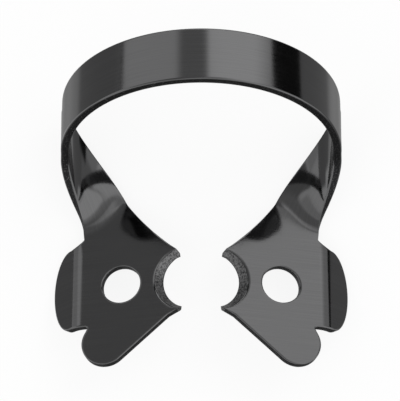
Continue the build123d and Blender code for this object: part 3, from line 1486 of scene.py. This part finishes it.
@dataclass(frozen=True)
class CoatedSteel:
    """Dark coated spring steel with bare, ground cut edges.

    The mask of the cut edges is 0 on the skins, 1 on a cut edge and 1.5 on the notch.
    """

    sheet_dark: tuple[float, float, float, float] = (0.139, 0.139, 0.141, 1.0)
    sheet_light: tuple[float, float, float, float] = (0.161, 0.161, 0.163, 1.0)
    sheet_roughness: float = 0.1
    cut_colour: tuple[float, float, float, float] = (0.03, 0.03, 0.031, 1.0)
    spark_colour: tuple[float, float, float, float] = (0.2, 0.2, 0.2, 1.0)
    cut_roughness: float = 0.5
    ground_colour: tuple[float, float, float, float] = (0.27, 0.27, 0.272, 1.0)
    ground_roughness: float = 0.38
    notch_middle: tuple[float, float, float] = (-5.4, 0.03, 0.0)
    cut_mask: tuple[float, float] = (0.35, 0.85)
    ground_mask: tuple[float, float] = (1.1, 1.4)
    noise_middle: tuple[float, float] = (0.3, 0.7)
    arc_scale: float = 34.0
    dull_scale: float = 7.0
    wear_range: tuple[float, float] = (-0.8, 0.8)
    line_roughness: float = 0.14
    haze_roughness: float = 0.05
    line_relief: float = 0.15
    relief_strength: float = 0.35
    relief_depth: float = 0.00002

    def build(self, groups: EffectGroups) -> bpy.types.Material:
        """Build the material.

        Args:
            groups: the shared effects.

        Returns:
            The material.
        """
        material = bpy.data.materials.new("Dark coated spring steel")
        material.use_nodes = True
        tree = Tree(material.node_tree)
        shader = material.node_tree.nodes["Principled BSDF"]
        shader.inputs["Metallic"].default_value = 1.0
        marks = tree.node("ShaderNodeAttribute", attribute_name="marks").outputs["Vector"]
        along, across, mask = tree.split(marks)
        metres = tree.node("ShaderNodeTexCoord").outputs["Object"]
        place = tree.vector("MULTIPLY", metres, (1 / METRES,) * 3)
        brushed = tree.node("ShaderNodeGroup", node_tree=groups.brushed)
        grit = tree.node("ShaderNodeGroup", node_tree=groups.grit)
        tree.tree.links.new(marks, brushed.inputs["Place"])
        tree.tree.links.new(place, grit.inputs["Place"])
        cut, ground = tree.span(mask, self.cut_mask), tree.span(mask, self.ground_mask)

        streaks = tree.span(brushed.outputs["Lines"], self.noise_middle)
        coat = tree.blend(streaks, self.sheet_dark, self.sheet_light)
        edge = tree.blend(grit.outputs["Sparks"], self.cut_colour, self.spark_colour)
        worn = self.worn(tree, tree.join(X=along, Y=across), place)
        colour = tree.blend(ground, tree.blend(cut, coat, edge), worn)
        tree.tree.links.new(colour, shader.inputs["Base Color"])

        lines = tree.math("SUBTRACT", brushed.outputs["Lines"], 0.5)
        haze = tree.math("SUBTRACT", brushed.outputs["Haze"], 0.5)
        lined = tree.math("MULTIPLY_ADD", lines, self.line_roughness, self.sheet_roughness)
        sheet = tree.math("ADD", lined, tree.math("MULTIPLY", haze, self.haze_roughness))
        rough = tree.mix(ground, tree.mix(cut, sheet, self.cut_roughness), self.ground_roughness)
        tree.tree.links.new(rough, shader.inputs["Roughness"])

        fine = tree.math("MULTIPLY", lines, self.line_relief)
        relief = {
            "Strength": self.relief_strength,
            "Distance": self.relief_depth,
            "Height": tree.mix(cut, fine, grit.outputs["Grains"]),
        }
        bump = tree.node("ShaderNodeBump", relief)
        tree.tree.links.new(bump.outputs[0], shader.inputs["Normal"])
        return material

    def worn(self, tree: Tree, chart: object, place: object) -> bpy.types.NodeSocket:
        """Colour of the ground notch: arcs left by the wheel, with dull spots.

        Args:
            tree: the material's tree helper.
            chart: place in the plate's chart.
            place: place on the clamp in millimetres.

        Returns:
            The colour.
        """
        distance = tree.node("ShaderNodeVectorMath", {0: chart, 1: self.notch_middle}, operation="DISTANCE")
        rings = {"W": distance.outputs["Value"], "Scale": self.arc_scale, "Detail": 2.0}
        arcs = tree.node("ShaderNodeTexNoise", rings, noise_dimensions="1D").outputs[0]
        dull = tree.noise(place, self.dull_scale, 3.0)
        parts = (tree.span(part, self.noise_middle, -0.5, 0.5) for part in (arcs, dull))
        share = tree.span(tree.math("ADD", *parts), self.wear_range)
        return tree.blend(share, self.cut_colour, self.ground_colour)


# The whole clamp


@dataclass(frozen=True)
class Clamp:
    """The whole clamp: bow, two legs and two jaw plates in one piece."""

    sheet: Sheet = Sheet()
    bow: Bow = Bow()
    leg: Leg = Leg()
    plate: JawPlate = JawPlate()
    rest_tilt: float = 23.83
    rest_setback: float = 6.2196
    rest_lift: float = 3.5146
    soft_width: float = 0.8
    soft_widths: float = 2.5
    soft_reach: float = 3.6
    soft_fade: float = 1.2
    soft_margin: float = 0.01
    same_side: float = 0.2

    @staticmethod
    def ends(front: Rail, back: Rail) -> list[tuple[float, float]]:
        """Find how the leg bends where it joins the plate.

        Args:
            front: front rail of the leg.
            back: back rail of the leg.

        Returns:
            For each rail its bend and its pace square to the joint.
        """
        ruling = unit(back.places[-1] - front.places[-1])
        normal = unit(np.cross(ruling, front.slopes[-1]))
        found = []
        for rail in (front, back):
            run = 1 / (len(rail.places) - 1)
            change = np.gradient(rail.slopes, run, axis=0, edge_order=2)[-1]
            pace = np.linalg.norm(np.cross(rail.slopes[-1], ruling))
            found.append((float(change @ normal) / pace**2, float(pace)))
        return found

    def heel(self, front: Rail, back: Rail) -> HeelBlend:
        """Soft start of the heel's bend, from how much the leg bends at both ends of the joint."""
        (neck_bend, _), (crotch_bend, _) = self.ends(front, back)
        return HeelBlend(self.plate.neck, self.plate.crotch, neck_bend, crotch_bend)

    def blended(self, front: Rail, back: Rail, heel: HeelBlend) -> tuple[Rail, Rail]:
        """Lift both rails so that the heel starts softly.

        Args:
            front: front rail of the leg.
            back: back rail of the leg.
            heel: the soft start of the heel's bend.

        Returns:
            The lifted front rail and back rail.
        """
        ruling = back.places - front.places
        rails = []
        for rail, (bend, pace) in zip((front, back), self.ends(front, back)):
            normal = unit(np.cross(ruling, rail.slopes))
            step = np.linalg.norm(np.diff(rail.places, axis=0), axis=1)
            run = np.concatenate([np.cumsum(step[::-1])[::-1], [0]])
            past = run * pace / np.linalg.norm(rail.slopes[-1])
            lift = normal * heel.offset(bend, past)[:, None]
            change = np.gradient(lift, 1 / (len(lift) - 1), axis=0, edge_order=2)
            rails.append(Rail(rail.places + lift, rail.slopes + change))
        return tuple(rails)

    def strip(self, finish: bpy.types.Material) -> Mesher:
        """Build bow and legs with the strip tree.

        Args:
            finish: material that the strip is given.

        Returns:
            The strip's patches.
        """
        bow_front, bow_back = self.bow.rails(self.sheet)
        leg_front, leg_back = self.leg.rails(self.sheet, self.bow, self.plate)
        leg_front, leg_back = self.blended(leg_front, leg_back, self.heel(leg_front, leg_back))

        # Rows run from the left end over the crown to the right end
        layers = {}
        for name, bow, leg in (("front", bow_front, leg_front), ("back", bow_back, leg_back)):
            right = np.vstack([bow.places, leg.places[1:]])
            layers[name] = np.vstack([right[:0:-1] * MIRROR, right])
            right = np.vstack([bow.slopes, leg.slopes[1:]])
            layers[name + "_slope"] = np.vstack([right[:0:-1] * -MIRROR, right])
        run = run_along((layers["front"] + layers["back"]) / 2)
        layers["run"] = np.abs(run - run[-1] / 2) - run[-1] / 2 - self.plate.neck_setback
        section = self.sheet.section()
        rails = chain("strip_rails", layers["front"], False, layers)
        loop = chain("strip_section", section, True, {"place": section})
        mesh = StripTree().apply(rails, loop, self.sheet, finish)
        points = rows_of(mesh.vertices, "co")
        marks = rows_of(mesh.attributes["marks"].data, "vector")
        mesher = Mesher()
        mesher.add(points, marks, np.array([tuple(p.vertices) for p in mesh.polygons]))
        bpy.data.meshes.remove(mesh)
        for helper in (rails, loop):
            data = helper.data
            bpy.data.objects.remove(helper)
            bpy.data.meshes.remove(data)
        return mesher

    @staticmethod
    def end_ring(strip: Mesher) -> np.ndarray:
        """Find the points round the strip's open right end.

        Args:
            strip: the strip's patches.

        Returns:
            Their indices.
        """
        faces = np.vstack(strip.faces)
        edges = np.sort(np.vstack([faces[:, [i, (i + 1) % 4]] for i in range(4)]), axis=1)
        found, count = np.unique(edges, axis=0, return_counts=True)
        ring = np.unique(found[count == 1])
        return ring[np.vstack(strip.points)[ring, 0] > 0]

    def at_rest(self, points: np.ndarray) -> np.ndarray:
        """Tip points of the maker's frame back to the rest pose.

        Args:
            points: rows of points in millimetres.

        Returns:
            Rows of points in metres.
        """
        tilt = math.radians(self.rest_tilt)
        c, s = math.cos(tilt), math.sin(tilt)
        x, y, z = points.T
        moved = [x, y * c + z * s - self.rest_setback, z * c - y * s + self.rest_lift]
        return np.stack(moved, axis=1) * METRES

    def soften(self, mesh: bpy.types.Mesh, marks: np.ndarray, batch: int = 300) -> None:
        """Spread the turn of the skins' normals over the heel.

        Args:
            mesh: the clamp's mesh at rest.
            marks: marks of its vertices, whose third value tells a cut edge.
            batch: number of vertices that are worked out at a time.
        """
        places = rows_of(mesh.vertices, "co") / METRES
        normals = rows_of(mesh.vertices, "normal")
        area = np.zeros(len(places))
        for polygon in mesh.polygons:
            area[list(polygon.vertices)] += polygon.area / METRES**2
        ends = self.plate.place(np.array([self.plate.neck, self.plate.crotch]), 0.0, self.sheet)
        neck, crotch = self.at_rest(ends) / METRES
        flat = marks[:, 0] < self.plate.neck_from_hole + self.soft_margin
        skin = flat & (marks[:, 2] < self.soft_margin)
        soft = normals.copy()
        for side in (np.ones(3), MIRROR):
            start, line = neck * side, (crotch - neck) * side
            along = np.clip((places - start) @ line / (line @ line), 0, 1)
            gap = np.linalg.norm(places - start - along[:, None] * line, axis=1)
            near = np.flatnonzero(skin & (gap < self.soft_reach))
            reach = self.soft_reach + self.soft_widths * self.soft_width
            wide = np.flatnonzero(skin & (gap < reach))
            for part in np.array_split(near, math.ceil(len(near) / batch)):
                apart = np.linalg.norm(places[part][:, None] - places[wide][None], axis=2)
                weight = area[wide] * np.exp(-((apart / self.soft_width) ** 2) / 2)
                weight *= normals[part] @ normals[wide].T > self.same_side
                share = eased(np.clip((self.soft_reach - gap[part]) / self.soft_fade, 0, 1))[:, None]
                blurred = unit(weight @ normals[wide])
                soft[part] = unit(normals[part] * (1 - share) + blurred * share)
        mesh.normals_split_custom_set_from_vertices([tuple(way) for way in soft])

    def build(self, finish: bpy.types.Material) -> bpy.types.Object:
        """Build the clamp as one closed mesh.

        Args:
            finish: the clamp's material.

        Returns:
            The clamp's object at the origin.
        """
        mesher = self.strip(finish)
        LOG.info("strip: %d points", mesher.count)
        rails = self.leg.rails(self.sheet, self.bow, self.plate)
        plate = replace(self.plate, heel=self.heel(*rails))
        right = PlateBuilder(plate, self.sheet).build()
        LOG.info("jaw plate: %d points", right.count)
        # The plate's edge moves onto the strip's end, so that the two weld without a gap
        end = Mesher()
        end.add(np.vstack(mesher.points)[self.end_ring(mesher)], np.zeros((0, 3)), np.zeros((0, 4)))
        right.snap(end)
        mesher.join(right.mirrored())
        mesher.join(right)
        points, marks, faces = mesher.welded()
        mesh = bpy.data.meshes.new("clamp_body")
        mesh.from_pydata([tuple(p) for p in self.at_rest(points)], [], faces)
        layer = mesh.attributes.new("marks", "FLOAT_VECTOR", "POINT")
        layer.data.foreach_set("vector", marks.astype(np.float32).ravel())
        shell = bmesh.new()
        shell.from_mesh(mesh)
        bmesh.ops.recalc_face_normals(shell, faces=shell.faces)
        loose = sum(not edge.is_manifold for edge in shell.edges)
        volume = shell.calc_volume(signed=True) / METRES**3
        shell.to_mesh(mesh)
        shell.free()
        LOG.info("clamp: %d faces, %d open edges, %.1f mm3", len(mesh.polygons), loose, volume)
        mesh.shade_smooth()
        self.soften(mesh, marks)
        mesh.materials.append(finish)
        return linked("clamp_body", mesh)


# Camera, light and floor


@dataclass(frozen=True)
class Camera:
    """Camera over the jaws at the photograph's angle."""

    aim: tuple[float, float, float] = (-0.092, 0.0, 0.0)
    aim_rise: float = 6.42
    elevation: float = 63.7
    distance: float = 200.0
    focal_pixels: float = 2600.8
    frame_pixels: tuple[int, int] = (400, 401)
    sensor: float = 36.0
    clip: tuple[float, float] = (0.005, 5.0)

    def build(self, clamp: Clamp) -> bpy.types.Object:
        """Make the camera and set it in the scene.

        Args:
            clamp: gives the way from the maker's frame to the rest pose.

        Returns:
            The camera's object.
        """
        tilt = math.radians(self.elevation)
        back = np.array([0, -math.cos(tilt), math.sin(tilt)])
        up = np.array([0, math.sin(tilt), math.cos(tilt)])
        target = np.array(self.aim) + up * self.aim_rise
        eye = target + back * self.distance
        target, eye, above = clamp.at_rest(np.array([target, eye, target + up]))
        data = bpy.data.cameras.new("Camera")
        data.sensor_width = self.sensor
        data.lens = self.focal_pixels * self.sensor / max(self.frame_pixels)
        data.clip_start, data.clip_end = self.clip
        made = linked("Camera", data)
        look = Vector(target - eye).normalized()
        side = look.cross(Vector(above - target)).normalized()
        upward = side.cross(look)
        rows = [(side[i], upward[i], -look[i], float(eye[i])) for i in range(3)]
        made.matrix_world = Matrix([*rows, (0, 0, 0, 1)])
        bpy.context.scene.camera = made
        return made


@dataclass(frozen=True)
class Zone:
    """A patch of the light tent between two bearings and two elevations, in degrees.

    Bearings run from the back (0) to the right (90); a soft width blurs each side.
    """

    glow: float
    bearings: tuple[float, float]
    elevations: tuple[float, float]
    soft_bearing: float = 6.0
    soft_elevation: float = 3.0


@dataclass(frozen=True)
class LightTent:
    """White tent round the clamp, with the darker parts that the steel mirrors."""

    left_glow: float = 0.85
    back_glow: float = 1.3
    right_glow: float = 0.6
    fill_glow: float = 0.8
    left_bearings: tuple[float, float] = (-14.0, 2.0)
    right_bearings: tuple[float, float] = (36.0, 52.0)
    front_bearings: tuple[float, float] = (85.0, 120.0)
    zones: tuple[Zone, ...] = (
        Zone(0.62, (4.0, 70.0), (31.0, 70.0), 8.0, 6.0),
        Zone(1.05, (26.5, 75.0), (31.0, 64.0), 9.0, 3.0),
        Zone(0.27, (-75.0, 5.0), (28.7, 65.0), 5.0, 4.0),
        Zone(0.48, (-360.0, 360.0), (-100.0, 0.0), 6.0, 1.2),
        Zone(0.32, (-360.0, 360.0), (-100.0, -60.0), 6.0, 16.0),
        Zone(0.27, (-360.0, 0.0), (-38.5, 0.0), 6.0, 6.0),
        Zone(0.29, (0.0, 360.0), (-46.0, 0.0), 6.0, 8.0),
        Zone(0.10, (-200.0, 30.0), (0.0, 2.0), 6.0, 1.0),
        Zone(0.34, (-17.0, 4.0), (24.0, 50.0), 8.0, 2.0),
        Zone(0.33, (-360.0, 360.0), (74.0, 140.0), 6.0, 40.0),
        Zone(0.36, (-150.0, -12.0), (60.0, 140.0), 24.0, 16.0),
        Zone(0.60, (-165.0, -84.0), (36.0, 60.0), 8.0, 10.0),
        Zone(0.90, (-130.0, -82.0), (-36.0, 26.0), 4.0, 8.0),
        Zone(0.85, (-100.0, -76.0), (-65.0, -25.0), 3.0, 4.0),
        Zone(0.62, (-62.0, -51.0), (2.0, 25.0), 3.0, 4.0),
        Zone(1.10, (78.0, 140.0), (6.0, 60.0), 5.0, 10.0),
        Zone(0.90, (82.0, 118.0), (-18.0, 8.0), 4.0, 6.0),
        Zone(0.38, (61.0, 77.0), (-5.0, 26.0), 3.0, 4.0),
        Zone(0.14, (158.0, 360.0), (-45.0, 14.0), 8.0, 10.0),
        Zone(0.32, (-360.0, -168.0), (-45.0, 14.0), 8.0, 10.0),
        Zone(0.02, (45.5, 64.5), (-14.0, 6.6), 3.0, 1.0),
    )

    def build(self) -> None:
        """Set the world: white to the camera, the tent to whatever mirrors it."""
        world = bpy.data.worlds.new("Light tent")
        bpy.context.scene.world = world
        world.use_nodes = True
        tree = Tree(world.node_tree)
        background = world.node_tree.nodes["Background"]
        east, north, high = tree.split(tree.node("ShaderNodeTexCoord").outputs["Generated"])
        degrees = math.degrees(1)
        elevation = tree.math("MULTIPLY", tree.math("ARCSINE", high), degrees)
        bearing = tree.math("MULTIPLY", tree.math("ARCTAN2", east, north), degrees)
        glow = tree.span(bearing, self.left_bearings, self.left_glow, self.back_glow)
        fade = tree.span(bearing, self.right_bearings, 1, self.right_glow / self.back_glow)
        front = tree.span(tree.math("ABSOLUTE", bearing), self.front_bearings)
        glow = tree.mix(front, tree.math("MULTIPLY", glow, fade), self.left_glow)
        for zone in self.zones:
            sideways = self.window(tree, bearing, zone.bearings, zone.soft_bearing)
            upward = self.window(tree, elevation, zone.elevations, zone.soft_elevation)
            glow = tree.mix(tree.math("MULTIPLY", sideways, upward), glow, zone.glow)
        path = tree.node("ShaderNodeLightPath").outputs
        mirrored = tree.math("MAXIMUM", path["Is Glossy Ray"], path["Is Transmission Ray"])
        lit = tree.mix(path["Is Diffuse Ray"], 1.0, self.fill_glow)
        tree.tree.links.new(tree.mix(mirrored, lit, glow), background.inputs["Strength"])
        background.inputs["Color"].default_value = (1, 1, 1, 1)

    @staticmethod
    def window(
        tree: Tree, value: object, ends: tuple[float, float], soft: float
    ) -> bpy.types.NodeSocket:
        """Mask that is one between two values and falls off softly beyond them.

        Args:
            tree: the world's tree helper.
            value: socket to test.
            ends: the two values.
            soft: width of the soft step at each of them.

        Returns:
            The mask.
        """
        low, high = ends
        rise = tree.span(value, (low - soft / 2, low + soft / 2))
        fall = tree.span(value, (high - soft / 2, high + soft / 2), 1, 0)
        return tree.math("MULTIPLY", rise, fall)


@dataclass(frozen=True)
class Softbox:
    """A large soft lamp."""

    name: str
    place: tuple[float, float, float]
    size: float
    power: float

    def build(self) -> bpy.types.Object:
        """Make the lamp, turned to the clamp.

        Returns:
            The lamp's object.
        """
        data = bpy.data.lights.new(self.name, "AREA")
        data.shape = "DISK"
        data.size = self.size
        data.energy = self.power
        made = linked(self.name, data)
        made.location = self.place
        made.rotation_euler = Vector(self.place).to_track_quat("Z", "Y").to_euler()
        made.visible_glossy = False
        return made


@dataclass(frozen=True)
class Studio:
    """Plain pale floor, light tent and soft lamps round the clamp."""

    floor_size: float = 1.2
    floor_colour: tuple[float, float, float, float] = (0.95, 0.95, 0.95, 1.0)
    paper_glow: float = 0.88
    tent: LightTent = LightTent()
    lamps: tuple[Softbox, ...] = (
        Softbox("key_lamp", (0.25, 0.3, 0.45), 0.3, 0.6),
        Softbox("fill_lamp", (-0.35, -0.1, 0.4), 0.4, 0.3),
    )

    def floor(self) -> bpy.types.Object:
        """Make the floor, which holds the clamp's soft shadow.

        Returns:
            The floor's object.
        """
        mesh = bpy.data.meshes.new("floor")
        half = self.floor_size / 2
        corners = [(-half, -half, 0), (half, -half, 0), (half, half, 0), (-half, half, 0)]
        mesh.from_pydata(corners, [], [(0, 1, 2, 3)])
        material = bpy.data.materials.new("Pale floor")
        material.use_nodes = True
        tree = Tree(material.node_tree)
        shader = material.node_tree.nodes["Principled BSDF"]
        white = tree.node("ShaderNodeEmission", {"Strength": 1.0}).outputs[0]
        seen = tree.node("ShaderNodeLightPath").outputs["Is Camera Ray"]
        share = tree.math("MULTIPLY", seen, self.paper_glow)
        paper = tree.node("ShaderNodeMixShader", {0: share, 1: shader.outputs[0], 2: white})
        output = material.node_tree.nodes["Material Output"]
        tree.tree.links.new(paper.outputs[0], output.inputs["Surface"])
        shader.inputs["Base Color"].default_value = self.floor_colour
        shader.inputs["Roughness"].default_value = 1.0
        shader.inputs["Specular IOR Level"].default_value = 0.0
        mesh.materials.append(material)
        made = linked("floor", mesh)
        made.visible_glossy = False
        return made

    def build(self) -> None:
        """Build the floor, the tent and the lamps."""
        self.floor()
        self.tent.build()
        for lamp in self.lamps:
            lamp.build()
        bpy.context.scene.view_settings.view_transform = "Standard"


def main() -> None:
    """Build the clamp and its stage in order and report each piece."""
    logging.basicConfig(level=logging.INFO, format="%(name)s %(message)s")
    finish = CoatedSteel().build(EffectGroups())
    clamp = Clamp()
    body = clamp.build(finish)
    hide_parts("clamp")
    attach(body, "root")
    LOG.info("piece %s built", body.name)
    Studio().build()
    Camera().build(clamp)
    LOG.info("studio and camera built")


if __name__ == "__main__":
    main()
